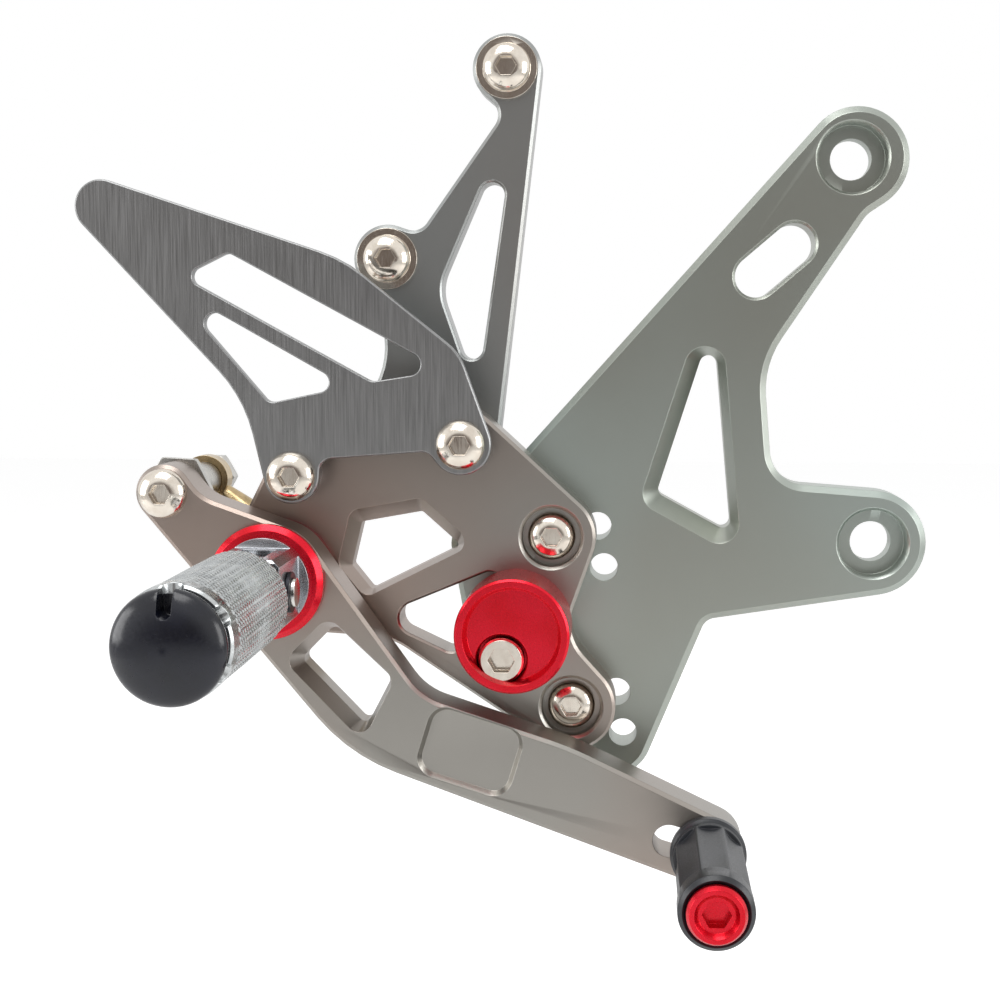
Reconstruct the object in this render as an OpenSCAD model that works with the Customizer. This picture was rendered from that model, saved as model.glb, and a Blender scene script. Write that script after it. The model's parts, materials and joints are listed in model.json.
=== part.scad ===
// Brake side footrest assembly of a motorcycle rear set.
// Parts are drawn in the plane of the plates: x forward, y up, z away from the motorcycle,
// and stood upright at the end. The origin is the upper frame bolt on the mounting face.

/* [Frame plate] */
// Thickness of the frame plate
frame_t = 10; // [9:0.5:13]
// Forward distance of the lower frame bolt from the upper one
frame_low_x = 6; // [3:0.5:9]
// Drop of the lower frame bolt below the upper one
frame_low_drop = 84.5; // [80:0.5:88]
// Diameter of the frame bolt holes
frame_hole_d = 9; // [7:0.5:10]
// Diameter of the frame bolt counterbores
frame_bore_d = 15; // [13:0.5:17]
// Depth of the frame bolt counterbores
frame_bore_depth = 5; // [3:0.5:6]
// Radius of the lugs round the frame bolts
frame_lug_r = 11.7; // [10:0.1:13]
// Step between the position holes, along the plate
hole_step_x = 10.1; // [9:0.1:11]
// Step between the position holes, across the plate
hole_step_y = 9.4; // [8.5:0.1:10]
// Tilt of the position hole grid in degrees
hole_tilt = 9; // [0:1:15]
// Chamfer along the front edge of the frame plate
frame_chamfer = 1.4; // [0.5:0.1:2]

/* [Carrier plate] */
// Thickness of the carrier plate
carrier_t = 10; // [9:0.5:13]
// Position of the upper carrier bolt, forward of the origin
carrier_up_x = -65; // [-67:0.5:-63]
// Position of the upper carrier bolt, above the origin
carrier_up_y = -82.6; // [-84:0.1:-80]
// Forward distance of the lower carrier bolt from the upper one
carrier_low_x = 4.5; // [3:0.5:6]
// Drop of the lower carrier bolt below the upper one
carrier_low_drop = 37.7; // [36:0.1:40]
// Radius of the bosses round the carrier bolts
carrier_boss_r = 9.8; // [9:0.1:10.5]
// Radius of the counterbores for the carrier bolt heads
carrier_bore_r = 6.5; // [6:0.1:7]
// Depth of the counterbores for the carrier bolt heads
carrier_bore_depth = 3.6; // [3.4:0.1:5]
// Chamfer along the edges of the carrier plate
carrier_chamfer = 0.7; // [0.3:0.1:1.2]
// Step between the edge of a window and its through opening
window_step = 2.6; // [1:0.1:3]
// Width of the step round the window in the carrier plate
carrier_window_step = 2; // [1:0.1:2.2]

/* [Pivot] */
// Position of the pedal pivot, forward of the origin
pivot_x = -125; // [-127:0.5:-123]
// Position of the pedal pivot, above the origin
pivot_y = -90.8; // [-92:0.1:-89]
// Radius of the carrier round the pivot
pivot_boss_r = 13; // [12:0.1:14]
// Radius of the pivot spigot
spigot_r = 6; // [5.5:0.1:6.5]
// Depth of the spigot in the carrier plate
spigot_seat = 6; // [4:0.5:7]
// Wall of the pedal bush
bush_wall = 2; // [1:0.1:3]
// Radius of the spacer behind the pedal
spacer_r = 12; // [10:0.1:13]
// Thickness of the spacer behind the pedal
spacer_t = 2; // [1:0.1:3]
// Radius of the flange in front of the pedal
flange_r = 12.4; // [11.5:0.1:13]
// Thickness of the flange in front of the pedal
flange_t = 3; // [2:0.1:4]
// Bevel round the front of the flange
flange_bevel = 1.2; // [0.4:0.1:1.5]
// Shank radius of the pivot bolt
pivot_bolt_r = 4; // [3:0.1:4.2]
// Head radius of the pivot bolt
pivot_head_r = 7; // [6:0.1:8]
// Head height of the pivot bolt
pivot_head_h = 4.4; // [3:0.1:5]

/* [Brake pedal] */
// Thickness of the pedal
pedal_t = 11.7; // [10:0.1:14]
// Radius of the pedal round its pivot
pedal_boss_r = 12.2; // [11.5:0.1:13]
// Position of the pushrod eye, forward of the pivot
eye_x = -22.5; // [-24:0.1:-21]
// Position of the pushrod eye, above the pivot
eye_y = 18.7; // [17.5:0.1:20]
// Radius of the pedal round the pushrod eye
eye_r = 6.1; // [5.5:0.1:7]
// Position of the toe peg, forward of the pivot
toe_x = 94.3; // [90:0.1:98]
// Drop of the toe peg below the pivot
toe_drop = 57.4; // [55:0.1:59]
// Radius of the pedal round the toe peg
toe_boss_r = 7.6; // [7:0.1:9]
// Travel of the toe peg along its slot
toe_slot_travel = 8.6; // [4:0.1:12]
// Width of the slot for the toe peg
toe_slot_w = 7; // [6.5:0.1:8]
// Direction of the toe slot in degrees
toe_slot_tilt = -16; // [-24:1:-10]
// Chamfer along the edges of the pedal
pedal_chamfer = 0.8; // [0.3:0.1:1.2]
// Depth of the shallow pocket in the pedal arm
pedal_pocket_depth = 1.4; // [0.5:0.1:3]
// Depth of the step in the pedal window
pedal_step_depth = 6; // [3:0.5:8]

/* [Toe peg] */
// Length of the toe peg sleeve
sleeve_l = 38.5; // [30:0.5:45]
// Radius of the foot of the sleeve
sleeve_foot_r = 8.1; // [7.6:0.1:9]
// Radius of the sleeve
sleeve_r = 7.5; // [7:0.1:8]
// Number of grip flutes round the sleeve
flutes = 8; // [6:1:12]
// Depth of the grip flutes
flute_depth = 0.9; // [0.3:0.1:1.2]
// Head radius of the toe peg bolt
toe_head_r = 5.9; // [5:0.1:6.5]
// Head height of the toe peg bolt
toe_head_h = 4; // [3:0.1:5]

/* [Footpeg] */
// Distance of the fold hinge in front of the flange
hinge_out = 12; // [11:0.1:14]
// Radius of the fold hinge pin
hinge_pin_r = 3; // [2:0.1:3.5]
// Radius of the bar that the clevis is cut from
clevis_r = 9.8; // [9:0.1:10.5]
// Half height of the clevis
clevis_half = 7.7; // [7:0.1:8]
// Half width of the clevis
clevis_w = 7.6; // [7:0.1:8.5]
// Thickness of the tongue between the clevis ears
tongue_t = 6.6; // [5.5:0.1:8]
// Distance of the barrel in front of the fold hinge
barrel_gap = 11.5; // [11:0.1:14]
// Length of the footpeg barrel
barrel_l = 47.5; // [40:0.5:60]
// Radius of the footpeg barrel
barrel_r = 10; // [9.5:0.1:11]
// Radius of the polished collar at the outer end
collar_r = 10.4; // [10:0.1:11.5]
// Length of the polished collar
collar_l = 4.5; // [3:0.1:6]
// Number of scallops in the collar
scallops = 6; // [4:1:8]
// Radius of the end cap
cap_r = 10.2; // [9:0.1:11]
// Height of the end cap
cap_h = 7; // [5:0.1:9]
// Radius of the end cap spigot
cap_spigot_r = 5; // [4:0.1:6]
// Length of the end cap spigot
cap_spigot_l = 12; // [8:0.5:16]
// Width of the notch in the end cap
notch_w = 2.6; // [2:0.1:3.5]
// Wire diameter of the fold spring
spring_wire = 0.9; // [0.6:0.1:1]

/* [Pedal stop] */
// Position of the stop screw, forward of the pivot
stop_screw_x = 50.1; // [49:0.1:51]
// Drop of the stop screw below the pivot
stop_screw_drop = 16.6; // [16:0.1:18]
// Radius of the pedal stop
stop_r = 12.3; // [11:0.1:12.5]
// Height of the pedal stop
stop_h = 16; // [12:0.5:20]
// Distance of the disc centre from its screw
stop_offset = 6; // [4:0.1:6.5]
// Wall of the rim round the stop
stop_rim = 1.8; // [1:0.1:3]
// Depth of the recess in the stop
stop_recess = 3; // [1:0.1:4]

/* [Heel guard] */
// Thickness of the heel guard
guard_t = 2.5; // [1.5:0.1:4]
// Length of the spacers behind the heel guard
guard_gap = 7.5; // [5:0.1:10]
// Radius of the spacers behind the heel guard
guard_spacer_r = 5; // [4.5:0.1:6]
// Position of the rear guard bolt, forward of the origin
guard_rear_x = -120.5; // [-122:0.1:-119]
// Position of the rear guard bolt, above the origin
guard_rear_y = -68.6; // [-70:0.1:-67]
// Position of the front guard bolt, forward of the origin
guard_front_x = -83.9; // [-85:0.1:-82]
// Position of the front guard bolt, above the origin
guard_front_y = -61.7; // [-63:0.1:-60]

/* [Cylinder bracket] */
// Thickness of the bracket for the brake cylinder
bracket_t = 8; // [6:0.5:9]
// Position of the top cylinder bolt, forward of the origin
cylinder_top_x = -75.5; // [-77:0.1:-74]
// Position of the top cylinder bolt, above the origin
cylinder_top_y = 19.9; // [18:0.1:22]
// Position of the rear cylinder bolt, forward of the origin
cylinder_rear_x = -102.2; // [-104:0.1:-101]
// Position of the rear cylinder bolt, above the origin
cylinder_rear_y = -21.5; // [-23:0.1:-20]
// Radius of the lugs round the cylinder bolts
cylinder_lug_r = 7.6; // [7:0.1:9]
// Width of the bevel along the front edge of the bracket
bracket_bevel = 2.6; // [1:0.1:3.5]

/* [Pushrod] */
// Distance of the pushrod behind the mounting face
rod_back = 3.4; // [3.4:0.1:6]
// Angle of the pushrod to the horizontal in degrees
rod_tilt = -42; // [-60:0.5:0]
// Radius of the rod end housing
rod_eye_r = 5.6; // [5.4:0.1:7]
// Width of the rod end housing
rod_eye_w = 5; // [4:0.1:5.2]
// Radius of the rod end ball
ball_r = 4.6; // [4.4:0.05:4.8]
// Width of the rod end ball
ball_w = 6; // [5.6:0.1:6.2]
// Key size of the rod end shank
shank_key = 8.8; // [8:0.1:8.8]
// Distance from the eye to the end of the rod end shank
shank_l = 38; // [30:0.5:45]
// Depth of the thread in the rod end shank
shank_thread = 10; // [6:0.5:16]
// Length of the stud beyond the lock nut
stud_out = 10; // [6:0.5:10]
// Key size of the collar behind the pushrod eye
collar_key = 13.2; // [12:0.1:14]
// Thickness of the collar behind the pushrod eye
collar_t = 2.2; // [1:0.1:4]

/* [Screws] */
// Radius of the screw shanks
screw_r = 3; // [2.5:0.1:3.2]
// Radius of the button heads
head_r = 5.25; // [5:0.05:5.5]
// Height of the button heads
head_h = 3.3; // [2.5:0.1:3.4]
// Radius of the flanges on the cylinder bolts
flange_head_r = 6.75; // [6:0.05:7.2]
// Key size of the hexagon sockets
key = 4; // [3:0.5:5]
// Key size of the nuts
nut_key = 10; // [9:0.5:11]
// Thickness of the nuts
nut_t = 5; // [4:0.1:6]

/* [Fits] */
// Radial clearance round screws
screw_fit = 0.1; // [0.05:0.01:0.2]
// Radial clearance of the running fits
run_fit = 0.05; // [0.02:0.01:0.08]
// Clearance on each side of the pedal and of the tongue
side_play = 0.15; // [0.1:0.01:0.3]

/* [Hidden] */
$fn = 64;
arc_step = 7;

frame_low = [frame_low_x, -frame_low_drop];
carrier_up = [carrier_up_x, carrier_up_y];
carrier_low = carrier_up + [carrier_low_x, -carrier_low_drop];
pivot = [pivot_x, pivot_y];
eye = pivot + [eye_x, eye_y];
toe = pivot + [toe_x, -toe_drop];
stop_screw_at = pivot + [stop_screw_x, -stop_screw_drop];
stop_turn = 67.3;
stop_at = stop_screw_at + stop_offset * [cos(stop_turn), sin(stop_turn)];
guard_rear = [guard_rear_x, guard_rear_y];
guard_front = [guard_front_x, guard_front_y];
cylinder_top = [cylinder_top_x, cylinder_top_y];
cylinder_rear = [cylinder_rear_x, cylinder_rear_y];

carrier_z = frame_t;
carrier_top = carrier_z + carrier_t;
pedal_z = carrier_top + spacer_t + side_play;
pedal_top = pedal_z + pedal_t;
flange_z = pedal_top + side_play;
flange_top = flange_z + flange_t;
hinge_z = flange_top + hinge_out;
barrel_z = hinge_z + barrel_gap;
barrel_top = barrel_z + barrel_l;
guard_z = carrier_top + guard_gap;
bracket_z = carrier_z - bracket_t;
screw_hole_r = screw_r + screw_fit;
spigot_hole_r = spigot_r + run_fit;
hex = 1 / cos(30);
over = 1;
reach = 300;

// An outline is a belt round circles [x, y, r], anticlockwise; r below 0 curves inwards
function at(p, r) = [p[0], p[1], r];
function line_turn(p, q) =
    atan2(q[1] - p[1], q[0] - p[0])
        - acos(max(-1, min(1, (p[2] - q[2]) / norm([q[0] - p[0], q[1] - p[1]]))));
function wrap_turn(p, a, b) =
    p[2] > 0 ? (((b - a) % 360) + 360) % 360 : -((((a - b) % 360) + 360) % 360);
function wrap(p, before, after, grow) =
    let (a = line_turn(before, p),
         t = wrap_turn(p, a, line_turn(p, after)),
         n = max(1, ceil(abs(t) / arc_step)))
    [for (k = [0:n]) [p[0] + (p[2] + grow) * cos(a + t * k / n), p[1] + (p[2] + grow) * sin(a + t * k / n)]];
function belt(c, grow = 0) =
    let (n = len(c)) [for (i = [0:n - 1]) each wrap(c[i], c[(i + n - 1) % n], c[(i + 1) % n], grow)];
function moved(points, by) = [for (p = points) p + by];

// Solid through like outlines, each given as [height, points]
module skin(rings) {
    n = len(rings[0][1]);
    last = len(rings) - 1;
    polyhedron(
        points = [for (ring = rings) for (p = ring[1]) [p[0], p[1], ring[0]]],
        faces = concat(
            [[for (i = [0:n - 1]) i]],
            [for (k = [0:last - 1]) for (i = [0:n - 1])
                [k * n + i, (k + 1) * n + i, (k + 1) * n + (i + 1) % n, k * n + (i + 1) % n]],
            [[for (i = [n - 1:-1:0]) last * n + i]]));
}

// Plate between two faces, with chamfered edges
module plate(c, z0, z1, back, front) {
    intersection() {
        skin([[z0 - over, belt(c, -back - over)], [z0 + back, belt(c)], [z1 - front, belt(c)],
            [z1 + over, belt(c, -front - over)]]);
        translate([-reach, -reach, z0])
            cube([2 * reach, 2 * reach, z1 - z0]);
    }
}

// Cutter for an opening with a chamfer at its front edge
module opening(c, z0, z1, front) {
    skin([[z0 - over, belt(c)], [z1 - front, belt(c)], [z1 + over, belt(c, front + over)]]);
}

// Cutter for a pocket with sloping walls that leave a through opening
module pocket(c, z0, floor, z1, step, shift) {
    skin([[z0 - over, moved(belt(c, -step), shift)], [floor, moved(belt(c, -step), shift)],
        [z1, belt(c)], [z1 + over, belt(c)]]);
}

module rod(p, r, z0, z1) {
    translate([p[0], p[1], z0])
        cylinder(r = r, h = z1 - z0);
}

// Counterbore with a chamfered rim at height z1
module counterbore(p, r, z0, z1, rim) {
    rod(p, r, z0, z1 + over);
    translate([p[0], p[1], z1 - rim])
        cylinder(r1 = r, r2 = r + rim + over, h = rim + over);
}

// Button head screw that seats at height z
module button_screw(p, z, r, h, length) {
    brim = 0.22 * h;
    translate([p[0], p[1], z])
        difference() {
            union() {
                rotate_extrude()
                    polygon(concat([[0, 0], [r, 0]],
                        [for (a = [0:12:60]) [r * cos(a), brim + (h - brim) * sin(a) / sin(60)]], [[0, h]]));
                translate([0, 0, -length])
                    cylinder(r = screw_r, h = length);
            }
            translate([0, 0, 0.4 * h])
                cylinder(d = key * hex, h = h, $fn = 6);
        }
}

// Hexagonal bar with chamfered corners and a corner along x
module hex_bar(size, length, chamfer) {
    corner = size / 2 * hex;
    intersection() {
        cylinder(r = corner, h = length, $fn = 6);
        rotate_extrude()
            polygon([[0, 0], [corner - chamfer, 0], [corner, chamfer], [corner, length - chamfer],
                [corner - chamfer, length], [0, length]]);
    }
}

module nut(p, z) {
    translate([p[0], p[1], z])
        difference() {
            hex_bar(nut_key, nut_t, 0.5);
            translate([0, 0, -over])
                cylinder(r = screw_hole_r, h = nut_t + 2 * over);
        }
}

module position_holes(p) {
    for (i = [0, 1])
        for (j = [0, 1])
            rod(p + i * hole_step_x * [cos(hole_tilt), sin(hole_tilt)]
                + j * hole_step_y * [sin(hole_tilt), -cos(hole_tilt)], screw_hole_r, -over, frame_t + over);
}

// Frame plate
frame_outline = [
    [0.9, -0.2, frame_lug_r - 0.4], [-81.5, -85.5, 6.7], [-79, -103, 6], [-52, -129, 9.5],
    [-28.2, -105.3, -3.5], at(frame_low, frame_lug_r), [-8.9, -63.6, -8], [2, -50.2, -20],
    [7.4, -16.4, -5.8]];
frame_slot = [[-20.6, -25.6, 4.6], [-12.4, -18.6, 4.6]];
frame_window = [[-28, -80.4, 4.4], [-31.5, -45.5, 4.6], [-40.6, -73.5, 4.4]];

module frame_plate() {
    color("#9a9f9b")
        difference() {
            plate(frame_outline, 0, frame_t, 0.5, frame_chamfer);
            for (p = [[0, 0], frame_low]) {
                rod(p, frame_hole_d / 2, -over, frame_t + over);
                counterbore(p, frame_bore_d / 2, frame_t - frame_bore_depth, frame_t, 0.6);
            }
            opening(frame_slot, 0, frame_t, 0.6);
            pocket(frame_window, 0, frame_t - 4, frame_t, window_step, [0.9, 0.6]);
            position_holes(carrier_up);
            position_holes(carrier_low);
        }
}

// Carrier plate
carrier_outline = [
    at(carrier_up, carrier_boss_r), at(guard_front, 7.1), at(guard_rear, 7),
    at(pivot, pivot_boss_r), [-106, -121, -16], at(carrier_low, carrier_boss_r), [-50, -101.5, -10.6]];
carrier_window = [[-86.9, -83.6, 2.8], [-94.4, -77.1, 2.9], [-107, -79.4, 2.9], [-109.2, -88.2, 2.8],
    [-105.4, -92.9, 2.8]];
carrier_slot = [[-78.6, -93, 2.6], [-95, -100.9, 3.6], [-87.2, -105.2, 3]];

module carrier_plate() {
    color("#85868a")
        difference() {
            plate(carrier_outline, carrier_z, carrier_top, 0.4, carrier_chamfer);
            pocket(carrier_window, carrier_z, carrier_top - 5, carrier_top, carrier_window_step,
                [0.2, -1.3]);
            opening(carrier_slot, carrier_z, carrier_top, 0.5);
            for (p = [carrier_up, carrier_low]) {
                rod(p, screw_hole_r, carrier_z - over, carrier_top);
                counterbore(p, carrier_bore_r, carrier_top - carrier_bore_depth, carrier_top, 0.7);
            }
            for (p = [guard_front, guard_rear, stop_screw_at])
                rod(p, screw_hole_r, carrier_z - over, carrier_top + over);
            rod(pivot, spigot_hole_r, carrier_top - spigot_seat, carrier_top + over);
            rod(pivot, pivot_bolt_r + screw_fit, carrier_z - over, carrier_top);
        }
}

module carrier_bolt(p) {
    color("#c9c4bc")
        button_screw(p, carrier_top - carrier_bore_depth, head_r, head_h,
            carrier_top - carrier_bore_depth - 1);
}

module carrier_bolt_upper() {
    carrier_bolt(carrier_up);
}

module carrier_bolt_lower() {
    carrier_bolt(carrier_low);
}

// Heel guard
guard_outline = [
    [-161, -11, 5.7], [-158, -66.5, -30], at(guard_rear, 6), [-111.6, -67.6, -2.8], [-92.3, -66.2, -2.9],
    at(guard_front, 6.5), [-94.2, -49.5, 12], [-123.4, -49.1, 30]];
guard_slot = [[-94.8, -44.6, 2.4], [-133.6, -23.4, 2.2], [-139.4, -26, 2], [-102.4, -45.6, 2.6]];
guard_window = [[-114.3, -48.4, 2.2], [-136.6, -36, 2.3], [-124.2, -50.4, 2.3]];

module heel_guard() {
    color("#77787c")
        difference() {
            plate(guard_outline, guard_z, guard_z + guard_t, 0.2, 0.3);
            opening(guard_slot, guard_z, guard_z + guard_t, 0.2);
            opening(guard_window, guard_z, guard_z + guard_t, 0.2);
            for (p = [guard_front, guard_rear])
                rod(p, screw_hole_r, guard_z - over, guard_z + guard_t + over);
        }
}

module guard_spacer(p) {
    color("#8d8f94")
        difference() {
            rod(p, guard_spacer_r, carrier_top, guard_z);
            rod(p, screw_hole_r, carrier_top - over, guard_z + over);
        }
}

module guard_spacer_front() {
    guard_spacer(guard_front);
}

module guard_spacer_rear() {
    guard_spacer(guard_rear);
}

module guard_bolt(p) {
    color("#c9c4bc")
        button_screw(p, guard_z + guard_t, head_r, head_h, guard_z + guard_t - bracket_z - 0.5);
}

module guard_bolt_front() {
    guard_bolt(guard_front);
}

module guard_bolt_rear() {
    guard_bolt(guard_rear);
}

// Bracket for the brake cylinder
bracket_outline = [
    at(cylinder_top, cylinder_lug_r), [-81.3, 9.9, -3.8], [-96.5, -11.4, -3.8],
    at(cylinder_rear, cylinder_lug_r), [-121, -41, -18], at(guard_rear, 7), at(guard_front, 6.6)];
bracket_window = [[-83.4, -41.2, 2.6], [-78.8, -7.6, 2.8], [-79.8, -28.5, 10.2]];

module cylinder_bracket() {
    edge = cylinder_top - guard_front;
    lean = atan2(edge[1], edge[0]) - asin((cylinder_lug_r - 6.6) / norm(edge));
    color("#7e8085")
        difference() {
            plate(bracket_outline, bracket_z, carrier_z, 0.4, 0.7);
            opening(bracket_window, bracket_z, carrier_z, 0.5);
            translate([guard_front[0], guard_front[1], carrier_z])
                rotate([0, 0, lean])
                    translate([6, -6.6, 0])
                        rotate([45, 0, 0])
                            cube([norm(edge) - 12, bracket_bevel * sqrt(2), bracket_bevel * sqrt(2)]);
            for (p = [guard_front, guard_rear, cylinder_top, cylinder_rear])
                rod(p, screw_hole_r, bracket_z - over, carrier_z + over);
        }
}

module cylinder_bolt(p) {
    color("#c9c4bc") {
        button_screw(p, carrier_z + 1, head_r, head_h, bracket_t + 0.5);
        difference() {
            rod(p, flange_head_r, carrier_z, carrier_z + 1);
            rod(p, screw_r - 0.5, carrier_z - over, carrier_z + 1 + over);
        }
    }
}

module cylinder_bolt_top() {
    cylinder_bolt(cylinder_top);
}

module cylinder_bolt_rear() {
    cylinder_bolt(cylinder_rear);
}

// Pedal pivot
module pedal_spacer() {
    color("#8e1022")
        difference() {
            rod(pivot, spacer_r, carrier_top, carrier_top + spacer_t);
            rod(pivot, spigot_hole_r, carrier_top - over, carrier_top + spacer_t + over);
        }
}

module pedal_flange() {
    color("#c4132b")
        translate([pivot[0], pivot[1], flange_z])
            rotate_extrude()
                polygon([[spigot_hole_r, 0], [flange_r - 0.4, 0], [flange_r, 0.4],
                    [flange_r, flange_t - flange_bevel], [flange_r - flange_bevel, flange_t],
                    [spigot_hole_r, flange_t]]);
}

module pivot_washer() {
    color("#b9b5ae")
        difference() {
            rod(pivot, pivot_head_r + 1.2, carrier_z - 1.2, carrier_z);
            rod(pivot, pivot_bolt_r + screw_fit, carrier_z - 1.2 - over, carrier_z + over);
        }
}

module pivot_bolt() {
    seat = carrier_z - 1.2;
    end = carrier_top - spigot_seat + 12;
    color("#c9c4bc")
        difference() {
            union() {
                rod(pivot, pivot_bolt_r, seat - 0.1, end);
                translate([pivot[0], pivot[1], seat])
                    mirror([0, 0, 1])
                        rotate_extrude()
                            polygon([[0, 0], [pivot_head_r, 0], [pivot_head_r, 0.3 * pivot_head_h],
                                [0.85 * pivot_head_r, 0.75 * pivot_head_h],
                                [0.6 * pivot_head_r, pivot_head_h], [0, pivot_head_h]]);
            }
            translate([pivot[0], pivot[1], seat - pivot_head_h - over])
                cylinder(d = 1.25 * key * hex, h = 2.6 + over, $fn = 6);
        }
}

// Turns a part lying along z so that its axis is the fold hinge, through the pivot line
module on_hinge() {
    translate([pivot[0], pivot[1], hinge_z])
        rotate([0, 90, 0])
            children();
}

// Clevis that carries the folding footpeg, with the spigot that the pedal turns on
module peg_clevis() {
    disc_t = 1.8;
    ear_reach = barrel_gap - 0.3;
    floor_z = hinge_z - clevis_half;
    color("#8f9196")
        difference() {
            union() {
                rod(pivot, spigot_r, carrier_top - spigot_seat, flange_top + 0.1);
                rod(pivot, clevis_r, flange_top, flange_top + disc_t);
                intersection() {
                    translate([pivot[0] - clevis_w, pivot[1] - clevis_half, flange_top + 0.1])
                        cube([2 * clevis_w, 2 * clevis_half, hinge_out + 8.6]);
                    rod(pivot, clevis_r, flange_top, barrel_z);
                    union() {
                        rod(pivot, clevis_r, flange_top, hinge_z);
                        on_hinge()
                            cylinder(r = ear_reach, h = 4 * clevis_w, center = true);
                    }
                }
            }
            translate([pivot[0] - tongue_t / 2 - side_play, pivot[1] - barrel_r, floor_z])
                cube([tongue_t + 2 * side_play, 2 * barrel_r, barrel_gap + clevis_half]);
            on_hinge()
                cylinder(r = hinge_pin_r + run_fit, h = 4 * clevis_w, center = true);
            rod(pivot, pivot_bolt_r + screw_fit, carrier_top - spigot_seat - over,
                carrier_top - spigot_seat + 13);
        }
}

clip_t = 0.8;
module hinge_pin() {
    head = 1.2;
    color("#d4d0c8")
        on_hinge()
            difference() {
                union() {
                    translate([0, 0, -clevis_w - head])
                        cylinder(r = hinge_pin_r + 0.9, h = head);
                    translate([0, 0, -clevis_w])
                        cylinder(r = hinge_pin_r, h = 2 * clevis_w + 2 * clip_t + 0.2);
                }
                translate([0, 0, clevis_w + 0.1])
                    rotate_extrude()
                        translate([hinge_pin_r - 0.5, 0])
                            square([over, clip_t]);
            }
}

// Spring clip in the groove of the hinge pin
module hinge_clip() {
    color("#3a3a3e")
        on_hinge()
            translate([0, 0, clevis_w + 0.1])
                difference() {
                    cylinder(r = hinge_pin_r + 1.2, h = clip_t);
                    translate([0, 0, -over])
                        cylinder(r = hinge_pin_r - 0.45, h = clip_t + 2 * over);
                    translate([0, -1.4, -over])
                        cube([2 * hinge_pin_r, 2.8, clip_t + 2 * over]);
                }
}

// Footpeg barrel with its hinge tongue
module footpeg_barrel() {
    tongue_r = clevis_half - 0.5;
    slot_w = 4 * spring_wire;
    color("#b4b6b8")
        difference() {
            union() {
                translate([pivot[0], pivot[1], barrel_z])
                    rotate_extrude()
                        polygon([[0, 0], [barrel_r - 0.6, 0], [barrel_r, 0.6],
                            [barrel_r, barrel_l - collar_l - 0.6],
                            [barrel_r - 0.6, barrel_l - collar_l - 0.4],
                            [barrel_r - 0.6, barrel_l - collar_l], [collar_r, barrel_l - collar_l + 0.2],
                            [collar_r, barrel_l - 0.5], [collar_r - 0.5, barrel_l], [0, barrel_l]]);
                on_hinge()
                    cylinder(r = tongue_r, h = tongue_t, center = true);
                translate([pivot[0] - tongue_t / 2, pivot[1] - tongue_r, hinge_z])
                    cube([tongue_t, 2 * tongue_r, barrel_gap + 0.5]);
                translate([pivot[0] - tongue_t / 2, pivot[1] - tongue_r, hinge_z - clevis_half + side_play])
                    cube([tongue_t, tongue_r, clevis_half - side_play]);
            }
            on_hinge()
                cylinder(r = hinge_pin_r + run_fit, h = 2 * tongue_t, center = true);
            on_hinge()
                cylinder(r = hinge_pin_r + 2.9, h = slot_w, center = true);
            translate([pivot[0] - slot_w / 2, pivot[1] + hinge_pin_r, hinge_z - barrel_r])
                cube([slot_w, barrel_r, barrel_r + 0.6]);
            translate([pivot[0], pivot[1], barrel_top - cap_spigot_l - 0.5])
                cylinder(r = cap_spigot_r + run_fit, h = cap_spigot_l + 0.5 + over);
            for (k = [0:scallops - 1])
                translate([pivot[0], pivot[1], barrel_top])
                    rotate([0, 0, 360 / scallops * (k + 0.5)])
                        translate([cap_spigot_r + 2, 0, 0])
                            rotate([0, 90, 0])
                                cylinder(r = 1.9, h = barrel_r);
        }
}

// Domed end cap with the lobes that fill the scallops of the barrel
module footpeg_cap() {
    neck = 1.2;
    widest = 0.45 * cap_h;
    color("#1b1d24")
        difference() {
            union() {
                translate([pivot[0], pivot[1], barrel_top - cap_spigot_l])
                    cylinder(r = cap_spigot_r, h = cap_spigot_l + 0.5);
                translate([pivot[0], pivot[1], barrel_top])
                    rotate_extrude()
                        polygon(concat(
                            [[0, 0], [cap_r - 1.2, 0], [cap_r - 1.2, neck], [cap_r - 0.3, neck + 0.3],
                            [cap_r, widest]],
                            [for (a = [12:12:84]) [cap_r * cos(a), widest + (cap_h - widest) * sin(a)]],
                            [[0, cap_h]]));
            }
            translate([pivot[0] - notch_w / 2, pivot[1] + cap_r - 3.6, barrel_top + neck])
                cube([notch_w, cap_r, cap_h]);
            rod([pivot[0], pivot[1] + cap_r - 3.6], notch_w / 2, barrel_top + neck, barrel_top + 2 * cap_h);
        }
}

// Fold spring: a coil round the hinge pin with one leg on the clevis
module fold_spring() {
    coil_r = hinge_pin_r + 1.6;
    turns = 2.5;
    pitch = spring_wire * 1.08;
    sides = 8;
    steps = 16;
    start = 90;
    path = concat(
        [for (k = [0:turns * steps])
            [coil_r * cos(start + 360 * k / steps), coil_r * sin(start + 360 * k / steps),
             pitch * (k / steps - turns / 2)]],
        [[2.4, -coil_r, pitch * turns / 2], [5, -coil_r, pitch * turns / 2]]);
    n = len(path);
    color("#2c2c30")
        on_hinge()
            rotate([0, 0, 90])
                polyhedron(
                    points = [for (k = [0:n - 1]) for (i = [0:sides - 1])
                        let (w = min(start + 360 * k / steps, start + 360 * turns), a = 360 * i / sides)
                        path[k] + spring_wire / 2 * [cos(a) * cos(w), cos(a) * sin(w), sin(a)]],
                    faces = concat(
                        [[for (i = [0:sides - 1]) i]],
                        [for (k = [0:n - 2]) for (i = [0:sides - 1])
                            [k * sides + i, (k + 1) * sides + i, (k + 1) * sides + (i + 1) % sides,
                             k * sides + (i + 1) % sides]],
                        [[for (i = [sides - 1:-1:0]) (n - 1) * sides + i]]));
}

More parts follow.
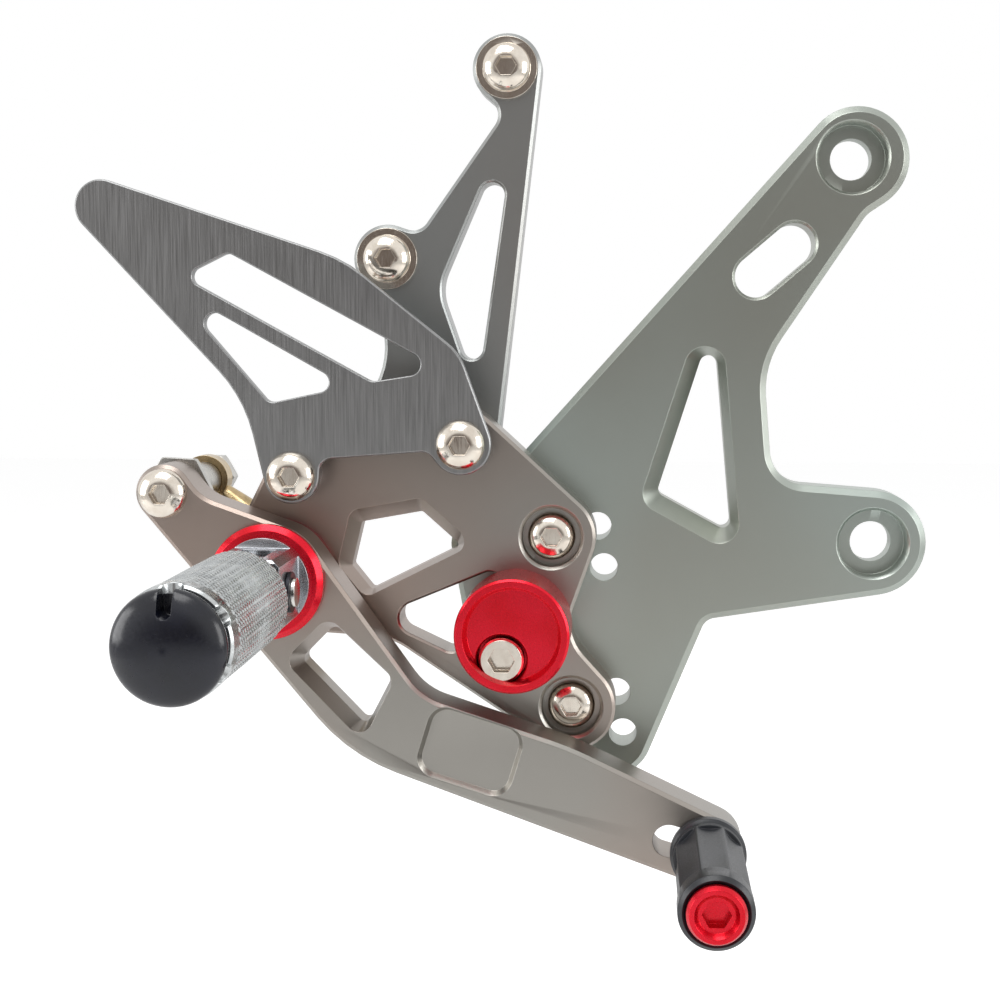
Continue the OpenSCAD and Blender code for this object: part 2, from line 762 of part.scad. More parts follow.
// Pedal stop: a cup shaped disc, turned about its off centre screw to set the pedal height
module pedal_stop() {
    head_z = carrier_top + stop_h - stop_recess - 5;
    color("#cf1530")
        difference() {
            translate([stop_at[0], stop_at[1], carrier_top])
                rotate_extrude()
                    polygon([[0, 0], [stop_r - 0.4, 0], [stop_r, 0.4],
                        [stop_r, stop_h - 0.5], [stop_r - 0.5, stop_h],
                        [stop_r - stop_rim, stop_h], [stop_r - stop_rim - 0.8, stop_h - stop_recess],
                        [0, stop_h - stop_recess]]);
            rod(stop_screw_at, screw_hole_r, carrier_top - over, carrier_top + stop_h);
            counterbore(stop_screw_at, head_r + 0.1, head_z, carrier_top + stop_h - stop_recess, 0.4);
        }
}

module stop_screw() {
    head_z = carrier_top + stop_h - stop_recess - 5;
    color("#cbbfae")
        translate([stop_screw_at[0], stop_screw_at[1], head_z])
            difference() {
                union() {
                    translate([0, 0, carrier_z + 1 - head_z])
                        cylinder(r = screw_r, h = head_z - carrier_z - 1);
                    rotate_extrude()
                        polygon([[0, 0], [head_r - 0.4, 0], [head_r - 0.4, 5.4], [head_r - 0.9, 6], [0, 6]]);
                }
                translate([0, 0, 3])
                    cylinder(d = 1.25 * key * hex, h = 4, $fn = 6);
            }
}

// Brake pedal
pedal_outline = [
    at(toe, toe_boss_r), at(pivot + [42.6, -91], 60), at(pivot + [41.6, -12.9], -14),
    at(pivot, pedal_boss_r), at(pivot + [-8.2, 26.4], -10), at(eye, eye_r), at(pivot + [40.8, -3.9], 40)];
pedal_window = [at(pivot + [19.4, -29.6], 3), at(pivot + [23.2, -21.6], 3.3),
    at(pivot + [13, -11.9], 3.2), at(pivot + [7.7, -17.3], 3.2)];
pedal_pocket_at = pivot + [43.4, -36.4];

module pedal_pocket() {
    tilt = -17;
    half = [6.2, 3.6];
    corners = [for (s = [[1, -1], [1, 1], [-1, 1], [-1, -1]])
        let (u = s[0] * half[0], v = s[1] * half[1])
        at(pedal_pocket_at + [u * cos(tilt) - v * sin(tilt), u * sin(tilt) + v * cos(tilt)], 4.4)];
    skin([[pedal_top - pedal_pocket_depth, belt(corners, -0.9)], [pedal_top, belt(corners)],
        [pedal_top + over, belt(corners)]]);
}

module toe_slot(r, z0, z1) {
    end = toe - toe_slot_travel * [cos(toe_slot_tilt), sin(toe_slot_tilt)];
    translate([0, 0, z0])
        linear_extrude(z1 - z0)
            polygon(belt([at(toe, r), at(end, r)]));
}

module brake_pedal() {
    color("#8a8a90")
        difference() {
            plate(pedal_outline, pedal_z, pedal_top, pedal_chamfer, pedal_chamfer);
            pocket(pedal_window, pedal_z, pedal_top - pedal_step_depth, pedal_top, 1.6, [0.5, -0.5]);
            pedal_pocket();
            toe_slot(toe_slot_w / 2, pedal_z - over, pedal_top + over);
            rod(pivot, spigot_r + run_fit + bush_wall + 0.02, pedal_z - over, pedal_top + over);
            rod(eye, screw_hole_r, pedal_z - over, pedal_top + over);
        }
}

module pedal_bush() {
    color("#a8834a")
        difference() {
            rod(pivot, spigot_hole_r + bush_wall, pedal_z, pedal_top);
            rod(pivot, spigot_hole_r, pedal_z - over, pedal_top + over);
        }
}

// Toe peg
module toe_sleeve() {
    foot = 2.2;
    nose = 6;
    color("#2b2d33")
        translate([toe[0], toe[1], pedal_top])
            difference() {
                rotate_extrude()
                    polygon([[screw_hole_r, 0], [sleeve_foot_r - 0.4, 0], [sleeve_foot_r, 0.4],
                        [sleeve_foot_r, foot], [sleeve_r, foot + 0.8],
                        [sleeve_r, sleeve_l - 1], [sleeve_r - 1, sleeve_l],
                        [screw_hole_r, sleeve_l]]);
                for (k = [0:flutes - 1])
                    rotate([0, 0, 360 / flutes * k])
                        translate([sleeve_r + 9 - flute_depth, 0, foot + 2.5])
                            cylinder(r = 9, h = sleeve_l - foot - 2.5 - nose);
                translate([0, 0, sleeve_l - 2.4])
                    cylinder(r1 = toe_head_r - 1.6 + run_fit, r2 = toe_head_r + 0.9 + run_fit, h = 2.5);
            }
}

module toe_bolt() {
    cone = 2.4;
    color("#d0142c")
        translate([toe[0], toe[1], pedal_top + sleeve_l - cone])
            difference() {
                union() {
                    translate([0, 0, cone - sleeve_l - pedal_t - nut_t - 0.5])
                        cylinder(r = screw_r, h = sleeve_l + pedal_t + nut_t - cone + 1);
                    rotate_extrude()
                        polygon([[0, 0], [toe_head_r - 1.7, 0], [toe_head_r - 0.2, 1.5], [toe_head_r, 1.9],
                            [toe_head_r, toe_head_h - 1], [toe_head_r - 0.6, toe_head_h],
                            [toe_head_r - 1.5, toe_head_h], [toe_head_r - 2.4, toe_head_h - 1.2],
                            [0, toe_head_h - 1.2]]);
                }
                translate([0, 0, 0.3])
                    cylinder(d = 1.25 * key * hex, h = toe_head_h, $fn = 6);
            }
}

module toe_nut() {
    color("#b9b5ae")
        nut(toe, pedal_z - nut_t);
}

// Pushrod eye
ball_z = -rod_back;
module eye_bolt() {
    color("#c9c4bc")
        button_screw(eye, pedal_top, head_r, head_h, pedal_top - ball_z + ball_w / 2 + nut_t);
}

module eye_spacer() {
    color("#b9b5ae")
        difference() {
            union() {
                rod(eye, rod_eye_w / 2 + 1.7, ball_z + ball_w / 2, pedal_z - collar_t + 0.1);
                translate([eye[0], eye[1], pedal_z - collar_t])
                    rotate([0, 0, -3])
                        hex_bar(collar_key, collar_t, 0.3);
            }
            rod(eye, screw_hole_r, ball_z, pedal_z + over);
        }
}

module rod_ball() {
    color("#d4d0c8")
        difference() {
            intersection() {
                translate([eye[0], eye[1], ball_z])
                    sphere(r = ball_r);
                rod(eye, ball_r, ball_z - ball_w / 2, ball_z + ball_w / 2);
            }
            rod(eye, screw_hole_r, ball_z - ball_w, ball_z + ball_w);
        }
}

module eye_nut() {
    color("#b9b5ae")
        nut(eye, ball_z - ball_w / 2 - nut_t);
}

// Places a part that lies along z on the pushrod, a distance from the eye
module on_rod(distance) {
    translate([eye[0], eye[1], ball_z])
        rotate([0, 0, rod_tilt])
            translate([distance, 0, 0])
                rotate([0, 90, 0])
                    children();
}

module rod_end() {
    neck = rod_eye_r - 0.8;
    neck_l = 8;
    color("#a39274")
        difference() {
            union() {
                rod(eye, rod_eye_r, ball_z - rod_eye_w / 2, ball_z + rod_eye_w / 2);
                on_rod(neck)
                    cylinder(r1 = rod_eye_w / 2 - 0.05, r2 = shank_key / 2 - 0.4, h = neck_l);
                on_rod(neck + neck_l - 0.1)
                    hex_bar(shank_key, shank_l - neck - neck_l + 0.1, 0.6);
            }
            translate([eye[0], eye[1], ball_z])
                sphere(r = ball_r + run_fit);
            on_rod(shank_l - shank_thread)
                cylinder(r = screw_hole_r, h = shank_thread + over);
        }
}

module lock_nut() {
    color("#b3a27e")
        on_rod(shank_l)
            rotate([0, 0, 30])
                nut([0, 0], 0);
}

module rod_stud() {
    stud_l = shank_thread - 0.5 + nut_t + stud_out;
    thread_r = screw_r - 0.2;
    plain_from = stud_l - stud_out + 0.3;
    color("#ab9c7c")
        on_rod(shank_l - shank_thread + 0.5)
            rotate_extrude()
                polygon([[0, 0], [thread_r - 0.4, 0], [thread_r, 0.4], [thread_r, plain_from],
                    [screw_r, plain_from], [screw_r, stud_l - 0.6], [screw_r - 0.6, stud_l], [0, stud_l]]);
}

// Stands the drawing plane upright, with its outer side towards -Y
module upright() {
    rotate([90, 0, 0])
        children();
}

upright() frame_plate();
upright() carrier_plate();
upright() carrier_bolt_upper();
upright() carrier_bolt_lower();
upright() heel_guard();
upright() guard_spacer_front();
upright() guard_spacer_rear();
upright() guard_bolt_front();
upright() guard_bolt_rear();
upright() cylinder_bracket();
upright() cylinder_bolt_top();
upright() cylinder_bolt_rear();
upright() pedal_spacer();
upright() pedal_flange();
upright() pivot_bolt();
upright() pivot_washer();
upright() peg_clevis();
upright() hinge_pin();
upright() hinge_clip();
upright() footpeg_barrel();
upright() footpeg_cap();
upright() fold_spring();
upright() pedal_stop();
upright() stop_screw();
upright() brake_pedal();
upright() pedal_bush();
upright() toe_sleeve();
upright() toe_bolt();
upright() toe_nut();
upright() eye_bolt();
upright() eye_spacer();
upright() rod_ball();
upright() eye_nut();
upright() rod_end();
upright() lock_nut();
upright() rod_stud();
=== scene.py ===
"""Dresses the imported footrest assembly: finishes, knurling, light, floor and camera."""
import json
import math

import bmesh
import bpy
import numpy as np
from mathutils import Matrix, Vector

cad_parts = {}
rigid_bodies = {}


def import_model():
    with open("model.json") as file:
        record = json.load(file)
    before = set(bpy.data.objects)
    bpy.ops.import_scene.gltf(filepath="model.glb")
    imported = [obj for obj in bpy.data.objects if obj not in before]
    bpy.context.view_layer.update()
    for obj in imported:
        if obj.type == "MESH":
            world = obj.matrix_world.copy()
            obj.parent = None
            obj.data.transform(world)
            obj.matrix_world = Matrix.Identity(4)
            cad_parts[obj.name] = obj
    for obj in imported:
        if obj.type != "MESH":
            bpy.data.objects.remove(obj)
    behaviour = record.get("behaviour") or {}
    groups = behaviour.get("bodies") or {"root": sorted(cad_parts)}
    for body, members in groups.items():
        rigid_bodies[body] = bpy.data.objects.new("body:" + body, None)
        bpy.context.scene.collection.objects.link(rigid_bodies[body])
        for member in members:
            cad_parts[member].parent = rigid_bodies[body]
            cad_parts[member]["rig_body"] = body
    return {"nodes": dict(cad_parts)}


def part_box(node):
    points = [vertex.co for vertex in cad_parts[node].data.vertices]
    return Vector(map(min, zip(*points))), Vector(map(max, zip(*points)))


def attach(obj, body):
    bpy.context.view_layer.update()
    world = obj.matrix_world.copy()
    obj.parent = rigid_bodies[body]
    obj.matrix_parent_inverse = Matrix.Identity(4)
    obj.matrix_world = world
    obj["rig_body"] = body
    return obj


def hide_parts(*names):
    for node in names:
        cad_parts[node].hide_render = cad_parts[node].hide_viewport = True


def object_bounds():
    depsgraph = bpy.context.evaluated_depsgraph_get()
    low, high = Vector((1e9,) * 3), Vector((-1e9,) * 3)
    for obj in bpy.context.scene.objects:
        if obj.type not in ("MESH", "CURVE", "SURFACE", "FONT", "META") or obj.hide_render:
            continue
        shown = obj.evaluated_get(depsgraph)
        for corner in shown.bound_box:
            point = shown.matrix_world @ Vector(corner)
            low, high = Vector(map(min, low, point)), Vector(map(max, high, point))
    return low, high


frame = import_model()
cad_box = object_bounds()

bl_info = {
    "name": "Brake side footrest",
    "version": (1, 0, 0),
    "blender": (4, 5, 0),
    "location": "3D View > Sidebar > Footrest",
    "description": "Finishes, knurling and studio of a motorcycle footrest assembly",
    "category": "Object",
}

MM = 0.001
NODES = frame["nodes"]
WHITE = (1.0, 1.0, 1.0, 1.0)

# Skins: corners that lie closer are merged, faces that turn less are one plane, and edges that turn more are
# sharp and get a bevel of the given width
MERGE_DISTANCE = 0.002 * MM
FLAT_ANGLE = math.radians(0.5)
SHARP_ANGLE = math.radians(26)
BROKEN_EDGE = 0.1 * MM

# Knurling: where it starts and ends along -Y, the radius between its pyramids and its run-in at each end
KNURL_START = 61.3 * MM
KNURL_END = 102.6 * MM
KNURL_ROOT = 10.02 * MM
KNURL_RUN_IN = 0.6 * MM
# How far its closed inner wall lies inside that radius
KNURL_WALL = 0.15 * MM
# Points for each repeat of the pattern
KNURL_POINTS = 5
# How much too tall the pyramids are drawn before their tops are cut flat
KNURL_CUT = 1.25

# The surround is dim towards the side that the plates face. It is wholly dim where the cosine with that
# direction is above DIM_INSIDE, and white where it is below DIM_OUTSIDE.
DIM_SIDE = (-0.05, -0.97, -0.24)
DIM_INSIDE = 0.985
DIM_OUTSIDE = 0.6
DIM_COLOUR = "#6f6662"

FLOOR_REACH = 2.5
CAMERA_PLACE = (-0.0475, -0.384, -0.0383)
CAMERA_DIRECTION = (-0.0789, 1.0, -0.0991)
CAMERA_CLIP = 0.01


def linear(colour):
    """The linear red, green, blue and alpha of an sRGB hex colour."""
    part = [int(colour[i:i + 2], 16) / 255 for i in (1, 3, 5)]
    return tuple(c / 12.92 if c <= 0.04045 else ((c + 0.055) / 1.055) ** 2.4 for c in part) + (1.0,)


def add(tree, kind, inputs=None, **settings):
    """Adds one node with its settings, its fixed inputs and its links, and returns it."""
    node = tree.nodes.new(kind)
    for name, value in settings.items():
        setattr(node, name, value)
    for name, value in (inputs or {}).items():
        if isinstance(value, bpy.types.NodeSocket):
            tree.links.new(value, node.inputs[name])
        else:
            node.inputs[name].default_value = value
    return node


def new_material(name, **surface):
    """A material with one Principled surface. Returns it with its tree, that surface and the Object
    coordinates."""
    made = bpy.data.materials.new(name)
    made.use_nodes = True
    tree = made.node_tree
    tree.nodes.clear()
    shader = add(tree, "ShaderNodeBsdfPrincipled", {k.replace("_", " "): v for k, v in surface.items()})
    add(tree, "ShaderNodeOutputMaterial", {"Surface": shader.outputs["BSDF"]})
    place = add(tree, "ShaderNodeTexCoord").outputs["Object"]
    return made, tree, shader, place


def stretched(tree, place, size, detail=2.0, turn=(0.0, 0.0, 0.0)):
    """Noise whose grain measures size = (x, y, z) millimetres, turned by degrees round each axis."""
    spread = add(tree, "ShaderNodeMapping", {
        "Vector": place,
        "Rotation": tuple(math.radians(a) for a in turn),
        "Scale": tuple(1 / (s * MM) for s in size),
    })
    return add(tree, "ShaderNodeTexNoise", {
        "Vector": spread.outputs["Vector"], "Scale": 1.0, "Detail": detail, "Roughness": 0.55,
    }).outputs["Fac"]


def between(tree, factor, low, high):
    """Maps a noise, which mostly lies from 0.3 to 0.7, to a value between low and high."""
    return add(tree, "ShaderNodeMapRange", {
        "Value": factor, "From Min": 0.3, "From Max": 0.7, "To Min": low, "To Max": high,
    }).outputs["Result"]


def tinted(tree, factor, one, other):
    """A colour that wanders between two hex colours."""
    ramp = add(tree, "ShaderNodeValToRGB", {"Fac": factor})
    for stop, position, colour in zip(ramp.color_ramp.elements, (0.35, 0.65), (one, other)):
        stop.position = position
        stop.color = linear(colour)
    return ramp.outputs["Color"]


def raised(tree, shader, height, depth):
    """Puts a height pattern, depth millimetres deep, on a surface."""
    bump = add(tree, "ShaderNodeBump", {"Height": height, "Strength": 1.0, "Distance": depth * MM})
    tree.links.new(bump.outputs["Normal"], shader.inputs["Normal"])


def anodised_plate(name, cool, warm, roughness):
    """Milled and bead blasted aluminium, anodised: the satin skin of the plates."""
    made, tree, shader, place = new_material(name, Metallic=1.0)
    drift = stretched(tree, place, (60, 60, 60), 1.0)
    tree.links.new(tinted(tree, drift, cool, warm), shader.inputs["Base Color"])
    # Blasting leaves pits of about 0.05 mm, drawn 0.2 mm wide so that they show
    grain = stretched(tree, place, (0.2, 0.2, 0.2), 3.0)
    tree.links.new(between(tree, grain, roughness - 0.05, roughness + 0.07), shader.inputs["Roughness"])
    raised(tree, shader, grain, 0.004)
    return made


def brushed_guard(name, dark, light):
    """Aluminium sheet brushed upwards and anodised grey: fine streaks that run up the guard."""
    made, tree, shader, place = new_material(name, Metallic=1.0, Anisotropic=0.4)
    # Brush lines of about 0.1 mm, drawn 0.28 mm wide and 14 mm long so that they show
    streak = stretched(tree, place, (0.28, 5, 14), 2.0, (0, 8, 0))
    tree.links.new(tinted(tree, streak, dark, light), shader.inputs["Base Color"])
    tree.links.new(between(tree, streak, 0.3, 0.42), shader.inputs["Roughness"])
    raised(tree, shader, streak, 0.002)
    return made


def anodised_colour(name, deep, bright, roughness):
    """Turned aluminium with a dyed, sealed anodised skin: a deep colour with soft metallic lights."""
    made, tree, shader, place = new_material(name, Metallic=0.85, Coat_Weight=0.3, Coat_Roughness=0.15)
    drift = stretched(tree, place, (9, 9, 9), 1.0)
    tree.links.new(tinted(tree, drift, deep, bright), shader.inputs["Base Color"])
    grain = stretched(tree, place, (0.25, 0.25, 0.25), 2.0)
    tree.links.new(between(tree, grain, roughness - 0.04, roughness + 0.06), shader.inputs["Roughness"])
    raised(tree, shader, grain, 0.002)
    return made


def polished_metal(name, dark, light, roughness):
    """Polished or plated steel: nearly mirror bright, with faint wiping marks that soften its lights."""
    made, tree, shader, place = new_material(name, Metallic=1.0)
    smear = stretched(tree, place, (2.5, 2.5, 2.5), 2.0)
    tree.links.new(tinted(tree, smear, dark, light), shader.inputs["Base Color"])
    marks = stretched(tree, place, (0.3, 0.3, 3), 3.0, (0, 25, 0))
    tree.links.new(between(tree, marks, roughness - 0.05, roughness + 0.08), shader.inputs["Roughness"])
    raised(tree, shader, marks, 0.002)
    return made


def moulded_plastic(name, colour, lifted, roughness, grain_size):
    """Moulded black plastic: a dielectric skin with a faint grain and a soft sheen."""
    made, tree, shader, place = new_material(name, Metallic=0.0, IOR=1.5)
    drift = stretched(tree, place, (6, 6, 6), 1.0)
    tree.links.new(tinted(tree, drift, colour, lifted), shader.inputs["Base Color"])
    grain = stretched(tree, place, (grain_size,) * 3, 3.0)
    tree.links.new(between(tree, grain, roughness - 0.05, roughness + 0.08), shader.inputs["Roughness"])
    raised(tree, shader, grain, 0.006)
    return made


def dress(finish, *names):
    """Gives CAD nodes a finish. Each gets a skin: a merged copy whose round faces are smooth and whose
    sharp edges are broken, so that they catch the light."""
    for name in names:
        mesh = NODES[name].data.copy()
        mesh.materials.clear()
        mesh.materials.append(finish)
        shell = bmesh.new()
        shell.from_mesh(mesh)
        bmesh.ops.remove_doubles(shell, verts=shell.verts, dist=MERGE_DISTANCE)
        bmesh.ops.dissolve_degenerate(shell, edges=shell.edges, dist=MERGE_DISTANCE)
        bmesh.ops.dissolve_limit(shell, verts=shell.verts, edges=shell.edges, angle_limit=FLAT_ANGLE)
        shell.to_mesh(mesh)
        shell.free()
        mesh.shade_smooth()
        mesh.set_sharp_from_angle(angle=SHARP_ANGLE)
        skin = bpy.data.objects.new(name + "_skin", mesh)
        bpy.context.scene.collection.objects.link(skin)
        bevel = skin.modifiers.new("broken_edge", "BEVEL")
        bevel.width = BROKEN_EDGE
        bevel.segments = 2
        bevel.limit_method = "ANGLE"
        bevel.angle_limit = SHARP_ANGLE
        bevel.use_clamp_overlap = False
        bevel.harden_normals = True
        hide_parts(name)
        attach(skin, NODES[name]["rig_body"])


def knurled_sleeve(name, centre, depth, pitch):
    """A knurled tube along -Y round centre = (x, z). It carries square pyramids with flat tops, depth high
    and pitch apart, parted by grooves that cross at 45 degrees. Both ends run in to a closed inner wall."""
    length = KNURL_END - KNURL_START
    step = pitch * math.sqrt(2)
    turns = int(round(2 * math.pi * KNURL_ROOT / step))
    around = turns * KNURL_POINTS
    along = int(length / pitch / math.sqrt(2) * KNURL_POINTS)
    angles = np.linspace(0, 2 * math.pi, around, endpoint=False)
    grid_a, grid_s = np.meshgrid(angles, np.linspace(0, 1, along + 1))
    u = grid_a * turns / (2 * math.pi)
    v = grid_s * length / step
    pyramid = np.minimum(2 * np.abs((u + v) % 1 - 0.5), 2 * np.abs((u - v) % 1 - 0.5))
    fade = np.clip(np.minimum(grid_s, 1 - grid_s) * length / KNURL_RUN_IN, 0, 1)
    outside = KNURL_ROOT + depth * np.clip(pyramid * KNURL_CUT, 0, 1) * fade
    inside = np.full((1, around), KNURL_ROOT - KNURL_WALL)
    r = np.vstack([inside, outside, inside])
    y = np.vstack([grid_s[:1], grid_s, grid_s[-1:]]) * length + KNURL_START
    turn = np.vstack([grid_a[:1], grid_a, grid_a[-1:]])
    points = np.stack([centre[0] + r * np.cos(turn), -y, centre[1] + r * np.sin(turn)], axis=-1)
    return ring_object(name, points)


def ring_object(name, points):
    """A mesh through a grid of points, closed round its columns and round its rows."""
    rows, columns = points.shape[:2]
    above = np.arange(rows * columns).reshape(rows, columns)
    below = np.roll(above, -1, axis=0)
    faces = np.stack([above, below, np.roll(below, -1, axis=1), np.roll(above, -1, axis=1)], axis=-1)
    mesh = bpy.data.meshes.new(name)
    mesh.from_pydata(points.reshape(-1, 3).tolist(), [], faces.reshape(-1, 4).tolist())
    mesh.update()
    shell = bmesh.new()
    shell.from_mesh(mesh)
    bmesh.ops.recalc_face_normals(shell, faces=shell.faces)
    shell.to_mesh(mesh)
    shell.free()
    made = bpy.data.objects.new(name, mesh)
    bpy.context.scene.collection.objects.link(made)
    return made


class FootrestFinishes(bpy.types.PropertyGroup):
    """Colours of the finishes."""
    plate_cool: bpy.props.StringProperty(
        name="Plate, cool", description="Cool end of the plates' anodised grey", default="#9d9a94")
    plate_warm: bpy.props.StringProperty(
        name="Plate, warm", description="Warm end of the plates' anodised grey", default="#a2938a")
    red: bpy.props.StringProperty(
        name="Red", description="Dye of the red anodised pieces", default="#d3001c")
    guard: bpy.props.StringProperty(
        name="Guard", description="Grey of the brushed heel guard", default="#8e8f8f")


class FootrestSizes(bpy.types.PropertyGroup):
    """Sizes of what is added to the solids."""
    knurl_pitch: bpy.props.FloatProperty(
        name="Knurl pitch", description="Distance between the ridges of the footpeg's knurling",
        default=1.15 * MM, unit="LENGTH")
    knurl_depth: bpy.props.FloatProperty(
        name="Knurl depth", description="Height of the knurling", default=0.32 * MM, unit="LENGTH")


class StudioSettings(bpy.types.PropertyGroup):
    """Light, floor and camera."""
    floor_drop: bpy.props.FloatProperty(
        name="Floor", description="Distance of the floor below the lowest piece", default=0.1, unit="LENGTH")
    key_power: bpy.props.FloatProperty(
        name="Key light", description="Power of the soft light above", default=3.0, unit="POWER")
    lens: bpy.props.FloatProperty(
        name="Lens", description="Focal length in millimetres on a 36 mm frame", default=60.3)


class DressPlates(bpy.types.Operator):
    """Milled pieces: frame plate, carrier, pedal, cylinder bracket, clevis and guard spacers"""
    bl_idname = "footrest.plates"
    bl_label = "Dress the plates"

    def execute(self, context):
        cool = context.scene.footrest_finishes.plate_cool
        warm = context.scene.footrest_finishes.plate_warm
        dress(anodised_plate("anodised_frame_plate", "#adb6b0", "#a4a79f", 0.34), "frame_plate")
        dress(anodised_plate("anodised_carrier", cool, warm, 0.33), "carrier_plate", "brake_pedal")
        dress(anodised_plate("anodised_bracket", "#9fa2a1", "#a29f9b", 0.33), "cylinder_bracket")
        dress(anodised_plate("anodised_clevis", "#c2c4c8", "#b3b5ba", 0.26), "peg_clevis",
              "guard_spacer_front", "guard_spacer_rear")
        return {"FINISHED"}


class DressGuard(bpy.types.Operator):
    """Brushed heel guard"""
    bl_idname = "footrest.guard"
    bl_label = "Dress the heel guard"

    def execute(self, context):
        dress(brushed_guard("brushed_guard", context.scene.footrest_finishes.guard, "#999999"), "heel_guard")
        return {"FINISHED"}


class DressRedPieces(bpy.types.Operator):
    """Red anodised pieces: pedal stop, pivot flange, toe bolt and rear spacer"""
    bl_idname = "footrest.red_pieces"
    bl_label = "Dress the red pieces"

    def execute(self, context):
        red = context.scene.footrest_finishes.red
        dress(anodised_colour("red_anodised", red, "#dc0f2a", 0.28), "pedal_stop", "pedal_flange", "toe_bolt")
        dress(anodised_colour("dark_red_anodised", "#97001a", "#850016", 0.34), "pedal_spacer")
        return {"FINISHED"}


class DressFasteners(bpy.types.Operator):
    """Screws, nuts, washers, pins and springs"""
    bl_idname = "footrest.fasteners"
    bl_label = "Dress the fasteners"

    def execute(self, context):
        dress(polished_metal("polished_stainless", "#d9cfc2", "#e6ded2", 0.13),
              "carrier_bolt_upper", "carrier_bolt_lower", "guard_bolt_front", "guard_bolt_rear",
              "cylinder_bolt_top", "cylinder_bolt_rear", "pivot_bolt", "stop_screw", "eye_bolt")
        dress(polished_metal("zinc_plated_steel", "#c3c0ba", "#b3b2ae", 0.28),
              "pivot_washer", "toe_nut", "eye_spacer", "eye_nut")
        dress(polished_metal("ground_pin_steel", "#dcdad6", "#cfccc6", 0.14), "hinge_pin", "rod_ball")
        dress(polished_metal("blackened_spring_steel", "#3c3c40", "#2d2d31", 0.35),
              "hinge_clip", "fold_spring")
        dress(polished_metal("turned_bronze", "#b48a4c", "#a67d42", 0.3), "pedal_bush")
        return {"FINISHED"}


class DressPushrod(bpy.types.Operator):
    """Yellow zinc plated pushrod"""
    bl_idname = "footrest.pushrod"
    bl_label = "Dress the pushrod"

    def execute(self, context):
        dress(polished_metal("yellow_zinc_plated_steel", "#c4ac84", "#a8946f", 0.2),
              "rod_end", "lock_nut", "rod_stud")
        return {"FINISHED"}


class DressFootpeg(bpy.types.Operator):
    """Footpeg: knurled aluminium barrel with a domed plastic cap"""
    bl_idname = "footrest.footpeg"
    bl_label = "Dress the footpeg"

    def execute(self, context):
        sizes = context.scene.footrest_sizes
        silver = polished_metal("clear_anodised_barrel", "#c6c9c9", "#b4b7b8", 0.24)
        dress(silver, "footpeg_barrel")
        dress(moulded_plastic("smooth_black_cap", "#0c0e17", "#12141f", 0.2, 0.6), "footpeg_cap")
        low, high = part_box("footpeg_cap")
        centre = ((low[0] + high[0]) / 2, (low[2] + high[2]) / 2)
        knurl = knurled_sleeve("footpeg_knurl", centre, sizes.knurl_depth, sizes.knurl_pitch)
        knurl.data.materials.append(silver)
        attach(knurl, "footpeg")
        return {"FINISHED"}


class DressToePeg(bpy.types.Operator):
    """Toe peg: fluted black sleeve"""
    bl_idname = "footrest.toe_peg"
    bl_label = "Dress the toe peg"

    def execute(self, context):
        dress(moulded_plastic("satin_black_sleeve", "#1b1d21", "#23252a", 0.34, 0.3), "toe_sleeve")
        return {"FINISHED"}


def card(name, corners, finish):
    """Adds a flat stage card through four corners."""
    mesh = bpy.data.meshes.new(name)
    mesh.from_pydata(corners, [], [(0, 1, 2, 3)])
    made = bpy.data.objects.new(name, mesh)
    made.data.materials.append(finish)
    bpy.context.scene.collection.objects.link(made)


def seen_rays(tree):
    """Two values: 1 for camera, glossy and transmission rays, so that metal shows the surround too, and 1
    for camera rays alone."""
    path = add(tree, "ShaderNodeLightPath")
    camera = path.outputs["Is Camera Ray"]
    both = add(tree, "ShaderNodeMath", {0: camera, 1: path.outputs["Is Glossy Ray"]}, operation="MAXIMUM")
    seen = add(tree, "ShaderNodeMath", {0: both.outputs[0], 1: path.outputs["Is Transmission Ray"]},
               operation="MAXIMUM")
    return seen.outputs[0], camera


def white_floor():
    """Matt white paper that glows a little for the camera, so that it stays white."""
    made = bpy.data.materials.new("white_paper")
    made.use_nodes = True
    tree = made.node_tree
    tree.nodes.clear()
    paper = add(tree, "ShaderNodeBsdfDiffuse", {"Color": linear("#f4f4f4")})
    glow = add(tree, "ShaderNodeEmission", {"Color": WHITE, "Strength": 0.35})
    lit = add(tree, "ShaderNodeAddShader")
    tree.links.new(paper.outputs[0], lit.inputs[0])
    tree.links.new(glow.outputs[0], lit.inputs[1])
    camera = add(tree, "ShaderNodeLightPath").outputs["Is Camera Ray"]
    mix = add(tree, "ShaderNodeMixShader", {"Fac": camera})
    tree.links.new(paper.outputs[0], mix.inputs[1])
    tree.links.new(lit.outputs[0], mix.inputs[2])
    add(tree, "ShaderNodeOutputMaterial", {"Surface": mix.outputs[0]})
    return made


